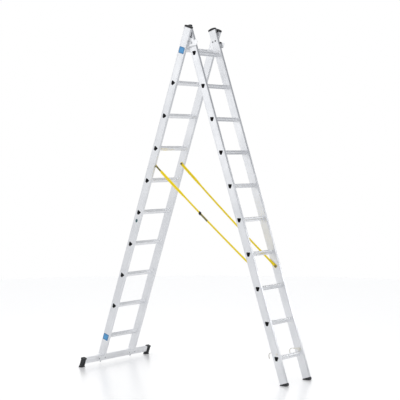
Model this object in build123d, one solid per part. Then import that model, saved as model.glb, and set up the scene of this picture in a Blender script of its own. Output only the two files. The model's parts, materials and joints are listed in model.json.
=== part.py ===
from build123d import *
import math
import os

# Combination ladder, standing open as a stepladder. Millimetres, Z up, floor at Z = 0.
# The lower section is the wide one with the stabiliser bar. The upper section is the narrow one,
# runs between the lower stiles and is climbed. Both hang on one horizontal fold axis near the top.

# Sizes that both sections share
rung_count = 10
rung_pitch = 280.0
stile_depth = 66.0
stile_thickness = 25.0
stile_wall = 1.8
stile_corner = 3.0
groove_width = 3.0
groove_depth = 0.7
groove_offset = 24.0

# Rung: a hollow delta profile with a flat tread above and a keel below, closed by a plug at each end
tread_width = 32.0
rung_height = 33.0
rung_shoulder = 11.0
rung_keel = 11.0
rung_tip = 15.0
rung_corner = 2.6
rung_wall = 1.6
tread_tilt = 18.0
rung_fit = 0.1
plug_length = 18.0
plug_head = 2.0
plug_fit = 0.1

# Sections and how they stand
lower_width = 424.0
lower_lean = 18.67
lower_first_rung = 256.0
upper_first_rung = 219.0
lower_stile_rise = 180.0
upper_stile_rise = 214.0

# Fold axis, measured from the lower stile centre line and from each top rung
fold_offset = 53.0
axis_above_lower_rung = 70.5
axis_above_upper_rung = 83.0

# Hinge bracket on the lower stile: a plate whose nose carries the pivot bolt and a stop roller
bracket_plate = 3.0
bracket_play = 0.5
bracket_reach_down = 44.0
bracket_reach_up = 37.0
bracket_back = 22.0
bracket_chin = 22.0
bracket_nose = 57.0
bracket_nose_drop = 3.0
roller_forward = 22.0
roller_up = 31.5
roller_radius = 7.0
roller_pin_radius = 4.0
roller_play = 0.5
rivet_radius = 4.0
rivet_head_radius = 7.0
rivet_head = 1.6
rivet_spread = 13.0
rivet_rows = (-30.0, 26.0)
rivet_fit = 0.1

# Swivel shoe that the upper stile slides through, and its pivot bolt
shoe_web = 3.5
shoe_play = 0.5
shoe_lip = 3.0
shoe_lip_reach = 11.5
shoe_down = 35.0
shoe_up = 30.0
pivot_radius = 7.0
pivot_fit = 0.05
pivot_head_radius = 12.0
pivot_head = 6.0
pivot_head_gap = 0.3

# Stop bolts that carry the upper section on the shoe
stop_gap = 0.5
stop_radius = 4.0
stop_head_radius = 6.5
stop_head = 3.5
stop_nut = 5.0
stop_places = (-20.0, 8.0)
bolt_fit = 0.1

# End caps on the stile tops and feet under the upper stiles
cap_height = 14.0
cap_crown = 5.0
cap_margin = 1.0
cap_round = 3.0
insert_length = 24.0
insert_fit = 0.2
foot_rise = 18.0
foot_margin = 1.0
foot_round = 12.0

# Stabiliser bar under the lower section, with its saddles and end feet
bar_length = 884.0
bar_height = 50.0
bar_depth = 20.0
bar_wall = 2.0
bar_corner = 2.5
bar_groove_width = 4.0
bar_groove_depth = 0.8
bar_clear = 31.0
saddle_web = 3.0
saddle_cheek = 2.5
saddle_drop = 35.0
saddle_length = 112.0
saddle_fit = 0.1
spigot_height = 60.0
saddle_bolt_spread = 37.5
saddle_bolt_radius = 4.0
saddle_bolt_head_radius = 6.5
saddle_bolt_head = 3.5
stud_radius = 4.0
stud_nut_radius = 7.5
stud_nut = 6.5
stud_end = 12.0
end_foot_length = 36.0
end_foot_depth = 26.0
end_foot_overhang = 3.0
end_foot_wall = 8.0
end_foot_fit = 0.2
sole_height = 12.0
sole_flare = 2.5
rim_height = 9.0

# Hooks that hold the upper section on a lower rung when the ladder is extended
hook_thickness = 6.0
hook_gap = 0.3
hook_throat = 40.0
hook_bar = 7.0
hook_arch_back = 5.0
hook_arch_above_rung = 31.0
hook_leg = 18.0
hook_bolt_forward = 12.0
hook_bolt_above_rung = 30.0
hook_boss_radius = 15.0
hook_bolt_radius = 5.0
hook_bolt_fit = 0.05
hook_bolt_head_radius = 8.5
hook_bolt_head = 5.5
hook_nut = 6.0

# Webbing straps that limit the spread, with their anchors and the slide buckle
strap_width = 25.0
strap_thickness = 1.8
strap_drop_lower = 975.0
strap_forward_lower = 9.0
strap_drop_upper = 1803.0
strap_end = 16.0
anchor_spacer = 2.6
anchor_stand = 4.0
anchor_washer_stand = 5.4
anchor_radius = 4.0
anchor_hole_fit = 0.3
anchor_washer_radius = 9.0
anchor_washer = 1.2
anchor_head_radius = 6.5
anchor_head = 4.0
anchor_grip = 1.4
buckle_share = 0.468
buckle_length = 22.0
buckle_width = 31.0
buckle_wall = 2.2
buckle_slot_fit = 0.5
tail_length = 104.0
tail_gap = 0.4

# Blank plates on the near lower stile
label_side = 54.0
label_drop = 8.0
label_thickness = 1.0
label_corner = 3.0
badge_width = 22.0
badge_height = 30.0
badge_thickness = 0.8
badge_below_rung = 74.0

# How far a cutting shape runs past the face that it cuts
overcut = 1.0

# Distances worked out from the sizes above
lower_outer = lower_width / 2
lower_inner = lower_outer - stile_thickness
side_gap = bracket_plate + bracket_play + shoe_web + shoe_play
upper_outer = lower_inner - side_gap
upper_inner = upper_outer - stile_thickness
rung_span = rung_pitch * (rung_count - 1)
half_depth = stile_depth / 2
bore_corner = max(stile_corner - stile_wall, 0.5)

lower_axis_run = axis_above_lower_rung + rung_span + lower_first_rung
upper_axis_run = axis_above_upper_rung + rung_span + upper_first_rung
lean_sin = math.sin(math.radians(lower_lean))
lean_cos = math.cos(math.radians(lower_lean))
axis_height = lower_axis_run * lean_cos - fold_offset * lean_sin
upper_lean = math.degrees(math.acos(axis_height / upper_axis_run))
upper_cos = math.cos(math.radians(upper_lean))
opening = lower_lean + upper_lean

# The origin is under the middle of the footprint, from the end feet to the front of the upper feet
sole_depth = end_foot_depth + 2 * sole_flare
rear_edge = -(fold_offset + sole_depth / 2) / lean_cos - axis_height * math.tan(math.radians(lower_lean))
foot_corner = (half_depth + foot_margin) / upper_cos + axis_height * math.tan(math.radians(upper_lean))
front_edge = foot_corner - foot_round * (1 / math.tan(math.radians(45 - upper_lean / 2)) - 1)
axis_x = -(rear_edge + front_edge) / 2

# Section frames: X across the stile depth, Z up along the stile, origin on the fold axis
lower_frame = Pos(axis_x, 0, axis_height) * Rot(0, lower_lean, 0)
upper_frame = Pos(axis_x, 0, axis_height) * Rot(0, -upper_lean, 0)
lower_centre = -fold_offset
upper_centre = 0.0

sides = {"near": -1, "far": 1}


def save(name, shape):
    export_step(shape, f"parts/{name}.step")


def between_y(inner, outer, side):
    """Middle of a span of distances from the centre plane, on one side of it."""
    return side * (inner + outer) / 2


def rung_places(axis_above_rung):
    """Rung heights along the stile, from the top one down."""
    return [-axis_above_rung - rung_pitch * i for i in range(rung_count)]


def cross_cylinder(radius, n, a, y_from, y_to):
    """A round bar along Y between two places."""
    middle = Pos(n, (y_from + y_to) / 2, a)
    return middle * Rot(90, 0, 0) * Cylinder(radius, abs(y_to - y_from))


def plate_from(outline, y_from, y_to):
    """A flat plate from an outline drawn in the section's X and Z."""
    plane = Plane(origin=(0, max(y_from, y_to), 0), x_dir=(1, 0, 0), z_dir=(0, -1, 0))
    return extrude(plane * outline, abs(y_to - y_from), dir=(0, -1, 0))


# Rungs
def rung_outline(grow=0.0):
    """Delta profile in X and Z with the tread tilted so that it lies level on the open ladder."""
    top = rung_height * 0.38
    tip = top - rung_height
    half = tread_width / 2
    points = [
        (-half, top),
        (half, top),
        (half, top - rung_shoulder),
        (rung_tip / 2, tip + rung_keel),
        (rung_tip / 2, tip),
        (-rung_tip / 2, tip),
        (-rung_tip / 2, tip + rung_keel),
        (-half, top - rung_shoulder),
    ]
    profile = Polygon(*points, align=None)
    profile = fillet(profile.vertices(), rung_corner)
    if grow:
        profile = offset(profile, grow, kind=Kind.INTERSECTION)
    return Rot(0, 0, -tread_tilt) * profile


def rung(n, a, outer):
    """One hollow rung through its two stiles, up to the plug heads."""
    skin = Pos(n, a) * rung_outline()
    bore = Pos(n, a) * rung_outline(-rung_wall)
    return plate_from(skin - bore, plug_head - outer, outer - plug_head)


def rung_plugs(n, places, outer):
    """The plugs that close the rung ends, with heads flush with the stile faces."""
    plugs = []
    for a in places:
        bung = Pos(n, a) * rung_outline(-rung_wall - plug_fit)
        cover = Pos(n, a) * rung_outline()
        for side in sides.values():
            neck = plate_from(bung, side * (outer - plug_length), side * (outer - plug_head))
            head = plate_from(cover, side * (outer - plug_head), side * outer)
            plugs.append(neck + head)
    return Compound(children=plugs)


# Stiles
def stile_section(side):
    """Hollow rectangular section with two shallow grooves along its outer face."""
    skin = RectangleRounded(stile_depth, stile_thickness, stile_corner)
    bore = RectangleRounded(stile_depth - 2 * stile_wall, stile_thickness - 2 * stile_wall, bore_corner)
    section = skin - bore
    for place in (-groove_offset, groove_offset):
        groove = Rectangle(groove_width, 2 * groove_depth)
        section -= Pos(place, side * stile_thickness / 2) * groove
    return section


def stile(n, side, outer, bottom, top, places, cross_holes=()):
    """One stile with the holes that its rungs and fasteners pass through."""
    middle = side * (outer - stile_thickness / 2)
    body = Pos(n, middle, bottom) * extrude(stile_section(side), top - bottom)
    hole = rung_outline(rung_fit)
    edges = (side * (outer - stile_thickness - overcut), side * (outer + overcut))
    cuts = [plate_from(Pos(n, a) * hole, *edges) for a in places]
    for radius, x, a, y_from, y_to in cross_holes:
        cuts.append(cross_cylinder(radius, x, a, side * y_from, side * y_to))
    return body - cuts


def end_cap(n, side, outer, end):
    """Plastic cap with an arched top on a stile's end, with its insert."""
    middle = side * (outer - stile_thickness / 2)
    half_cap = half_depth + cap_margin
    width = stile_thickness + 2 * cap_margin
    crown_top = cap_height + cap_crown
    arch_radius = (half_cap**2 + cap_crown**2) / (2 * cap_crown)
    block = Pos(0, 0, crown_top / 2) * Box(2 * half_cap, width, crown_top)
    arch = Pos(0, 0, crown_top - arch_radius) * Rot(90, 0, 0) * Cylinder(arch_radius, 2 * width)
    head = block & arch
    head = fillet(head.faces().sort_by(Axis.Z)[-1].edges(), cap_round)
    return Pos(n, middle, end) * head + stile_insert(n, middle, end - insert_length, end)


def stile_insert(n, middle, bottom, top):
    """A block that fits inside a stile's end."""
    trim = 2 * (stile_wall + insert_fit)
    block = RectangleRounded(stile_depth - trim, stile_thickness - trim, bore_corner)
    return Pos(n, middle, bottom) * extrude(block, top - bottom)


def above_floor(shape):
    """What is left of a shape above the floor."""
    room = 4 * axis_height
    return shape & (Pos(0, 0, room / 2) * Box(room, room, room))


# Lower section
lower_places = rung_places(axis_above_lower_rung)
lower_top = -axis_above_lower_rung + lower_stile_rise
lower_floor = -lower_axis_run
bar_middle = lower_floor + bar_clear + bar_height / 2
lower_bottom = lower_floor + bar_clear + bar_height + saddle_web
stile_middle = lower_outer - stile_thickness / 2

bracket_rivets = [
    (lower_centre + spread, row) for row in rivet_rows for spread in (-rivet_spread, rivet_spread)
]
strap_lower_n = lower_centre + strap_forward_lower
strap_lower_a = -axis_above_lower_rung - strap_drop_lower


def lower_holes():
    """Rivet holes for the hinge bracket and the strap anchor's hole, in the inner wall."""
    inner_wall = (lower_inner - overcut, lower_inner + stile_wall + overcut)
    holes = [(rivet_radius + rivet_fit, n, a, *inner_wall) for n, a in bracket_rivets]
    holes.append((anchor_radius + bolt_fit, strap_lower_n, strap_lower_a, *inner_wall))
    return holes


def hinge_bracket(side):
    """Plate riveted to the stile's inner face, with a nose for the pivot and the stop roller."""
    inner = lower_inner - bracket_plate
    rear = lower_centre - bracket_back
    face = lower_centre + half_depth
    outline = Polygon(
        (rear, -bracket_reach_down),
        (face, -bracket_reach_down),
        (pivot_head_radius, -bracket_chin),
        (bracket_nose, -bracket_nose_drop),
        (bracket_nose, bracket_reach_up),
        (rear, bracket_reach_up),
        align=None,
    )
    outline = fillet(outline.vertices(), bracket_plate)
    span = (side * (inner - overcut), side * (lower_inner + overcut))
    holes = [
        cross_cylinder(pivot_radius + pivot_fit, 0, 0, *span),
        cross_cylinder(roller_pin_radius + rivet_fit, roller_forward, roller_up, *span),
    ]
    holes += [cross_cylinder(rivet_radius + rivet_fit, n, a, *span) for n, a in bracket_rivets]
    return plate_from(outline, side * inner, side * lower_inner) - holes


def stop_rollers():
    """Rollers on the brackets' inner faces, against which the shoes come to rest when the ladder is open."""
    rollers = []
    inner = lower_inner - bracket_plate
    for side in sides.values():
        pin = cross_cylinder(roller_pin_radius, roller_forward, roller_up, side * inner, side * lower_inner)
        roller = cross_cylinder(
            roller_radius, roller_forward, roller_up, side * (upper_outer + shoe_play), side * inner
        )
        rollers.append(pin + roller)
    return Compound(children=rollers)


def bracket_rivet_set():
    """Blind rivets that hold both brackets, flush with the plate and headed inside the stile."""
    rivets = []
    inner = lower_inner - bracket_plate
    for side in sides.values():
        for n, a in bracket_rivets:
            shank = cross_cylinder(rivet_radius, n, a, side * inner, side * (lower_inner + stile_wall))
            bulb = cross_cylinder(
                rivet_head_radius,
                n,
                a,
                side * (lower_inner + stile_wall),
                side * (lower_inner + stile_wall + rivet_head),
            )
            rivets.append(shank + bulb)
    return Compound(children=rivets)


def stabiliser_bar():
    """Grooved rectangular tube across the foot of the lower section, drilled for the saddle bolts."""
    skin = RectangleRounded(bar_depth, bar_height, bar_corner)
    bore_round = max(bar_corner - bar_wall, 0.5)
    bore = RectangleRounded(bar_depth - 2 * bar_wall, bar_height - 2 * bar_wall, bore_round)
    for face in (-1, 1):
        skin -= Pos(face * bar_depth / 2, 0) * Rectangle(2 * bar_groove_depth, bar_groove_width)
    tube = plate_from(Pos(lower_centre, bar_middle) * (skin - bore), -bar_length / 2, bar_length / 2)
    bolt_drill = Rot(0, 90, 0) * Cylinder(saddle_bolt_radius + bolt_fit, bar_depth + 2 * overcut)
    drills = [Pos(lower_centre, y, bar_middle) * bolt_drill for y in saddle_bolt_places()]
    drills += [
        Pos(lower_centre, side * stile_middle, bar_middle) * Cylinder(stud_radius + bolt_fit, 2 * bar_height)
        for side in sides.values()
    ]
    return tube - drills


def saddle_bolt_places():
    """Where the saddle bolts cross the bar."""
    return [
        side * stile_middle + step
        for side in sides.values()
        for step in (-saddle_bolt_spread, saddle_bolt_spread)
    ]


def saddle(side):
    """Inverted channel over the bar that carries a stile on a spigot."""
    bar_top = bar_middle + bar_height / 2
    inside = bar_depth / 2 + saddle_fit
    body = Pos(lower_centre, side * stile_middle, bar_top + saddle_web / 2) * Box(
        2 * (inside + saddle_cheek), saddle_length, saddle_web
    )
    for turn in (-1, 1):
        body += Pos(
            lower_centre + turn * (inside + saddle_cheek / 2),
            side * stile_middle,
            bar_top - saddle_drop / 2 + saddle_web / 2,
        ) * Box(saddle_cheek, saddle_length, saddle_drop + saddle_web)
    body += stile_insert(lower_centre, side * stile_middle, lower_bottom, lower_bottom + spigot_height)
    drills = [
        Pos(lower_centre, y, bar_middle) * Rot(0, 90, 0) * Cylinder(saddle_bolt_radius + bolt_fit, bar_height)
        for y in saddle_bolt_places()
    ]
    return body - drills


def saddle_bolts():
    """Bolts through saddle and bar, with a head in front and a nut behind."""
    reach = bar_depth / 2 + saddle_fit + saddle_cheek
    bolts = []
    for y in saddle_bolt_places():
        shank = Cylinder(saddle_bolt_radius, 2 * reach)
        head = Pos(0, 0, reach + saddle_bolt_head / 2) * Cylinder(saddle_bolt_head_radius, saddle_bolt_head)
        nut = Pos(0, 0, -reach - saddle_bolt_head / 2) * extrude(
            RegularPolygon(saddle_bolt_head_radius, 6), saddle_bolt_head / 2, both=True
        )
        bolts.append(Pos(lower_centre, y, bar_middle) * Rot(0, 90, 0) * (shank + head + nut))
    return Compound(children=bolts)


def saddle_studs():
    """Studs that draw the saddles down on the bar, with a nut below it."""
    studs = []
    bar_low = bar_middle - bar_height / 2
    length = bar_height + stud_nut + stud_end
    for side in sides.values():
        shank = Pos(0, 0, bar_low + bar_height - length / 2) * Cylinder(stud_radius, length)
        nut = Pos(0, 0, bar_low - stud_nut / 2) * extrude(
            RegularPolygon(stud_nut_radius, 6), stud_nut / 2, both=True
        )
        studs.append(Pos(lower_centre, side * stile_middle, 0) * (shank + nut))
    return Compound(children=studs)


def end_foot(side):
    """Plastic foot over the bar's end, cut level with the floor and flared at its sole and rim."""
    outer = bar_length / 2 + end_foot_wall
    inner = outer - end_foot_length
    top = bar_middle + bar_height / 2 + end_foot_overhang
    bottom = lower_floor - end_foot_depth
    middle = between_y(inner, outer, side)
    leg = Pos(lower_centre, middle, (top + bottom) / 2) * Box(end_foot_depth, end_foot_length, top - bottom)
    sole_top = lower_floor + sole_height
    sole = Pos(lower_centre, middle, (sole_top + bottom) / 2) * Box(
        sole_depth, end_foot_length + 2 * sole_flare, sole_top - bottom
    )
    rim = Pos(lower_centre, middle, top - rim_height / 2) * Box(
        sole_depth, end_foot_length + 2 * sole_flare, rim_height
    )
    socket = RectangleRounded(
        bar_depth + 2 * end_foot_fit, bar_height + 2 * end_foot_fit, bar_corner + end_foot_fit
    )
    hollow = plate_from(
        Pos(lower_centre, bar_middle) * socket,
        side * (inner - sole_flare - overcut),
        side * (bar_length / 2 + end_foot_fit),
    )
    return above_floor(lower_frame * (leg + sole + rim - hollow))


# Upper section
upper_places = rung_places(axis_above_upper_rung)
upper_top = -axis_above_upper_rung + upper_stile_rise
upper_floor = -upper_axis_run
upper_bottom = upper_floor + foot_rise
bottom_rung = upper_places[-1]
hook_bolt_a = bottom_rung + hook_bolt_above_rung
strap_upper_a = -axis_above_upper_rung - strap_drop_upper
stop_a = shoe_up + stop_gap + stop_head_radius


def upper_holes():
    """Holes for the stop bolts, the hook bolt and the strap anchor."""
    through = (upper_inner - overcut, upper_outer + overcut)
    inner_wall = (upper_inner - overcut, upper_inner + stile_wall + overcut)
    holes = [(stop_radius + bolt_fit, n, stop_a, *through) for n in stop_places]
    holes.append((hook_bolt_radius + bolt_fit, hook_bolt_forward, hook_bolt_a, *through))
    holes.append((anchor_radius + bolt_fit, upper_centre, strap_upper_a, *inner_wall))
    return holes


def upper_foot(side):
    """Plastic foot on an upper stile's lower end, cut level with the floor and rounded in front."""
    middle = side * (upper_outer - stile_thickness / 2)
    bottom = upper_floor - stile_depth
    block = Pos(upper_centre, middle, (upper_bottom + bottom) / 2) * Box(
        stile_depth + 2 * foot_margin, stile_thickness + 2 * foot_margin, upper_bottom - bottom
    )
    insert = stile_insert(upper_centre, middle, upper_bottom, upper_bottom + insert_length)
    foot = above_floor(upper_frame * (block + insert))
    front = foot.edges().filter_by(Axis.Y).group_by(Axis.Z)[0].sort_by(Axis.X)[-1]
    return fillet(front, foot_round)


def stop_bolts():
    """Bolts above the shoe whose heads rest on it, with nuts on the stile's inner face."""
    bolts = []
    for side in sides.values():
        for n in stop_places:
            shank = cross_cylinder(stop_radius, n, stop_a, side * upper_inner, side * upper_outer)
            head = cross_cylinder(
                stop_head_radius, n, stop_a, side * upper_outer, side * (upper_outer + stop_head)
            )
            nut = plate_from(
                Pos(n, stop_a) * RegularPolygon(stop_head_radius, 6),
                side * (upper_inner - stop_nut),
                side * upper_inner,
            )
            bolts.append(shank + head + nut)
    return Compound(children=bolts)


def swivel_shoe(side):
    """Channel round the upper stile's outer face that turns on the hinge bracket."""
    inner = upper_outer + shoe_play
    outer = inner + shoe_web
    reach = half_depth + shoe_play
    orbit = math.hypot(roller_forward, roller_up)
    roller_turn = math.atan2(roller_up, roller_forward) - math.radians(opening)
    front_top = orbit * math.sin(roller_turn) - roller_radius - roller_play
    web = Rectangle(2 * (reach + shoe_lip), shoe_up + shoe_down)
    web = Pos(0, (shoe_up - shoe_down) / 2) * web
    shoulder = Rectangle(reach + shoe_lip, shoe_up - front_top, align=(Align.MIN, Align.MIN))
    swept = Pos(0, front_top) * shoulder - Circle(orbit - roller_radius - roller_play)
    body = plate_from(web - swept, side * inner, side * outer)
    lip_y = between_y(upper_outer - shoe_lip_reach, outer, side)
    lip_width = shoe_lip_reach + shoe_play + shoe_web
    for turn, top in ((-1, shoe_up), (1, front_top)):
        body += Pos(turn * (reach + shoe_lip / 2), lip_y, (top - shoe_down) / 2) * Box(
            shoe_lip, lip_width, top + shoe_down
        )
    span = (side * (inner - overcut), side * (outer + overcut))
    return body - cross_cylinder(pivot_radius + pivot_fit, 0, 0, *span)


def pivot_bolts():
    """Bolts on the fold axis: through the shoe's web and the bracket, with the head outside."""
    bolts = []
    inner = upper_outer + shoe_play
    for side in sides.values():
        head_in = lower_inner + pivot_head_gap
        shank = cross_cylinder(pivot_radius, 0, 0, side * inner, side * head_in)
        head = cross_cylinder(pivot_head_radius, 0, 0, side * head_in, side * (head_in + pivot_head))
        bolts.append(shank + head)
    return Compound(children=bolts)


# Rung hooks
def hook_outlines():
    """J-shaped hook: an arch with a leg that opens downward, a tapered arm and a boss on the bolt."""
    arch_n = upper_centre - fold_offset - hook_arch_back
    arch_a = bottom_rung + hook_arch_above_rung
    inside = hook_throat / 2
    outside = inside + hook_bar
    ring = Pos(arch_n, arch_a) * (Circle(outside) - Circle(inside))
    quarter = Pos(arch_n - outside / 2, arch_a + outside / 2) * Rectangle(outside, outside)
    leg = Pos(arch_n - inside - hook_bar / 2, arch_a - hook_leg / 2) * Rectangle(hook_bar, hook_leg)
    arm = Polygon(
        (arch_n, arch_a + outside),
        (hook_bolt_forward, hook_bolt_a + hook_boss_radius),
        (hook_bolt_forward - hook_boss_radius, hook_bolt_a),
        (arch_n + inside / 2, arch_a + inside),
        (arch_n, arch_a + inside),
        align=None,
    )
    boss = Pos(hook_bolt_forward, hook_bolt_a) * Circle(hook_boss_radius)
    return [ring & quarter, leg, arm, boss]


def rung_hook(side):
    """One hook plate on the upper stile's inner face."""
    outer = upper_inner - hook_gap
    inner = outer - hook_thickness
    arch, leg, arm, boss = [plate_from(outline, side * inner, side * outer) for outline in hook_outlines()]
    plate = arch + leg + arm + boss
    span = (side * (inner - overcut), side * (outer + overcut))
    return plate - cross_cylinder(hook_bolt_radius + hook_bolt_fit, hook_bolt_forward, hook_bolt_a, *span)


def hook_bolts():
    """Shoulder bolts that the hooks turn on, with a head outside and a nut inside."""
    bolts = []
    nut_out = upper_inner - 2 * hook_gap - hook_thickness
    for side in sides.values():
        shank = cross_cylinder(
            hook_bolt_radius, hook_bolt_forward, hook_bolt_a, side * nut_out, side * upper_outer
        )
        head = cross_cylinder(
            hook_bolt_head_radius,
            hook_bolt_forward,
            hook_bolt_a,
            side * upper_outer,
            side * (upper_outer + hook_bolt_head),
        )
        nut = plate_from(
            Pos(hook_bolt_forward, hook_bolt_a) * RegularPolygon(hook_bolt_head_radius, 6),
            side * (nut_out - hook_nut),
            side * nut_out,
        )
        bolts.append(shank + head + nut)
    return Compound(children=bolts)


# Straps
def strap_ends(side):
    """Where a strap's middle plane meets its two anchors."""
    lower_end = lower_frame * Pos(strap_lower_n, side * (lower_inner - anchor_stand), strap_lower_a)
    upper_end = upper_frame * Pos(upper_centre, side * (upper_inner - anchor_stand), strap_upper_a)
    return lower_end.position, upper_end.position


def strap_plane(side):
    """Plane along a strap: X from the lower anchor to the upper one, Z towards the middle of the ladder."""
    start, finish = strap_ends(side)
    along = (finish - start).normalized()
    inward = Vector(0, -side, 0)
    across = inward - along * inward.dot(along)
    return Plane(origin=start, x_dir=along, z_dir=across), (finish - start).length


def strap_band(side, start, finish, stand):
    """A flat length of webbing on the strap's plane."""
    plane, _ = strap_plane(side)
    band = Pos((start + finish) / 2, 0, stand) * Box(finish - start, strap_width, strap_thickness)
    return plane.location * band


def anchor_hole(frame, n, a, side, inner):
    """The hole that an anchor screw needs through a strap's end."""
    return frame * cross_cylinder(
        anchor_radius + anchor_hole_fit, n, a, side * (inner - 3 * anchor_stand), side * inner
    )


def strap(side):
    """One strap with an eyelet at each end."""
    _, length = strap_plane(side)
    band = strap_band(side, -strap_end, length + strap_end, 0)
    band -= anchor_hole(lower_frame, strap_lower_n, strap_lower_a, side, lower_inner)
    band -= anchor_hole(upper_frame, upper_centre, strap_upper_a, side, upper_inner)
    return band


def strap_buckle(side):
    """Slide buckle that the strap and its folded tail run through."""
    plane, length = strap_plane(side)
    slot_width = strap_width + 2 * buckle_slot_fit
    slot_height = 2 * strap_thickness + tail_gap + 2 * buckle_slot_fit
    middle = -(strap_thickness + tail_gap) / 2
    body = Box(buckle_length, buckle_width, slot_height + 2 * buckle_wall)
    body = fillet(body.edges().filter_by(Axis.Z), buckle_wall)
    body -= Box(2 * buckle_length, slot_width, slot_height)
    return plane.location * Pos(length * buckle_share, 0, middle) * body


def strap_tail(side):
    """The strap's free end, folded back along the strap's outer side from the buckle."""
    _, length = strap_plane(side)
    start = length * buckle_share - buckle_length / 2
    return strap_band(side, start, start + tail_length, -strap_thickness - tail_gap)


def strap_anchor(frame, n, a, side, inner):
    """Screw, washer and spacer that hold one strap end on a stile's inner face."""
    spacer = cross_cylinder(anchor_washer_radius, n, a, side * inner, side * (inner - anchor_spacer))
    washer_in = inner - anchor_washer_stand
    head_in = washer_in - anchor_washer
    shank = cross_cylinder(anchor_radius, n, a, side * (inner + stile_wall + anchor_grip), side * washer_in)
    washer = cross_cylinder(anchor_washer_radius, n, a, side * washer_in, side * head_in)
    head = cross_cylinder(anchor_head_radius, n, a, side * head_in, side * (head_in - anchor_head))
    return frame * (spacer + shank + washer + head)


# Blank plates
def label_plates():
    """Plain square plates over the top and bottom rung ends of the near lower stile."""
    square = RectangleRounded(label_side, label_side, label_corner)
    heights = [lower_places[0] - label_drop, lower_places[-1] - label_drop]
    plates = [
        plate_from(Pos(lower_centre, a) * square, -lower_outer - label_thickness, -lower_outer)
        for a in heights
    ]
    return Compound(children=plates)


def badge():
    """Plain oval plate below the middle rung of the near lower stile."""
    oval = Ellipse(badge_width / 2, badge_height / 2)
    a = lower_places[rung_count // 2] - badge_below_rung
    return plate_from(Pos(lower_centre, a) * oval, -lower_outer - badge_thickness, -lower_outer)


# Write the lower section
for name, side in sides.items():
    save(
        f"lower_stile_{name}",
        lower_frame
        * stile(lower_centre, side, lower_outer, lower_bottom, lower_top, lower_places, lower_holes()),
    )
    save(f"lower_cap_{name}", lower_frame * end_cap(lower_centre, side, lower_outer, lower_top))
    save(f"hinge_bracket_{name}", lower_frame * hinge_bracket(side))
    save(f"saddle_{name}", lower_frame * saddle(side))
    save(f"stabiliser_foot_{name}", end_foot(side))
for index, a in enumerate(reversed(lower_places)):
    save(f"lower_rung_{index + 1:02d}", lower_frame * rung(lower_centre, a, lower_outer))
save("lower_plugs", lower_frame * rung_plugs(lower_centre, lower_places, lower_outer))
save("bracket_rivets", lower_frame * bracket_rivet_set())
save("stabiliser_bar", lower_frame * stabiliser_bar())
save("saddle_bolts", lower_frame * saddle_bolts())
save("saddle_studs", lower_frame * saddle_studs())
save("stop_rollers", lower_frame * stop_rollers())
save("label_plates", lower_frame * label_plates())
save("badge", lower_frame * badge())

# Write the shoes and the upper section
save("pivot_bolts", upper_frame * pivot_bolts())
for name, side in sides.items():
    save(f"swivel_shoe_{name}", upper_frame * swivel_shoe(side))
    save(
        f"upper_stile_{name}",
        upper_frame
        * stile(upper_centre, side, upper_outer, upper_bottom, upper_top, upper_places, upper_holes()),
    )
    save(f"upper_cap_{name}", upper_frame * end_cap(upper_centre, side, upper_outer, upper_top))
    save(f"upper_foot_{name}", upper_foot(side))
    save(f"rung_hook_{name}", upper_frame * rung_hook(side))
for index, a in enumerate(reversed(upper_places)):
    save(f"upper_rung_{index + 1:02d}", upper_frame * rung(upper_centre, a, upper_outer))
save("upper_plugs", upper_frame * rung_plugs(upper_centre, upper_places, upper_outer))
save("stop_bolts", upper_frame * stop_bolts())
save("hook_bolts", upper_frame * hook_bolts())

# Write the straps and their anchors
for name, side in sides.items():
    save(f"strap_{name}", strap(side))
save("strap_buckle", strap_buckle(sides["near"]))
save("strap_tail", strap_tail(sides["near"]))
lower_anchors = [
    strap_anchor(lower_frame, strap_lower_n, strap_lower_a, side, lower_inner) for side in sides.values()
]
upper_anchors = [
    strap_anchor(upper_frame, upper_centre, strap_upper_a, side, upper_inner) for side in sides.values()
]
save("lower_strap_anchors", Compound(children=lower_anchors))
save("upper_strap_anchors", Compound(children=upper_anchors))

print(f"fold axis at x {axis_x:.3f} z {axis_height:.3f}, upper lean {upper_lean:.4f}")
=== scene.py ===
# %% [markdown]
# This lesson dresses a combination ladder that stands open as a stepladder. The construction
# already exists as solids, so the first step only loads them. Everything made later is placed
# in the same frame: metres, Z up, the floor at Z = 0.

# %% Load the construction
import json
import math

import bmesh
import bpy
from mathutils import Matrix, Vector


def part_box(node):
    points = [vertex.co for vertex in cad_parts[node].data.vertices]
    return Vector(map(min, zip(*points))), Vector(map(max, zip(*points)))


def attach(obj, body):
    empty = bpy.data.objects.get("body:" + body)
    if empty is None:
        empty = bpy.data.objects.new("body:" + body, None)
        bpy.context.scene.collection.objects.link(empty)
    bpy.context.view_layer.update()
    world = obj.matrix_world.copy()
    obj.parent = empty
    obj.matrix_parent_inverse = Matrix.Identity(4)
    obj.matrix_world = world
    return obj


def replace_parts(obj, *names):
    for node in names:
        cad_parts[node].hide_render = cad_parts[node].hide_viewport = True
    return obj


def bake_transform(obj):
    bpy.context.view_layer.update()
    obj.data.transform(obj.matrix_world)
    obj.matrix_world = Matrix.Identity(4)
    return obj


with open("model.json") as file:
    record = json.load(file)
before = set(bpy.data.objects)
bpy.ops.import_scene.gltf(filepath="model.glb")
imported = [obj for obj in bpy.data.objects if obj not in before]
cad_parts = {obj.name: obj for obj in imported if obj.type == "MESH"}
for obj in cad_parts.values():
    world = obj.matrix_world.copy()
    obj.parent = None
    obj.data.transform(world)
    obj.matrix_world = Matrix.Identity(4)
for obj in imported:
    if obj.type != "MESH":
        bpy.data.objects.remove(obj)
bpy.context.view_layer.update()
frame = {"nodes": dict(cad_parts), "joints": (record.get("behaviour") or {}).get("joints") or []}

MM = 0.001
nodes = frame["nodes"]

# %% [markdown]
# The ladder has two sections that lean against each other and share one fold axis. Measuring in
# a leaning part is awkward, so each section gets its own matrix: X runs across the depth of the
# stile, Y across the ladder and Z up along the stile, with the origin on the fold axis. The
# joints in the record already hold that axis and the slant, so nothing has to be measured again.

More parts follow.
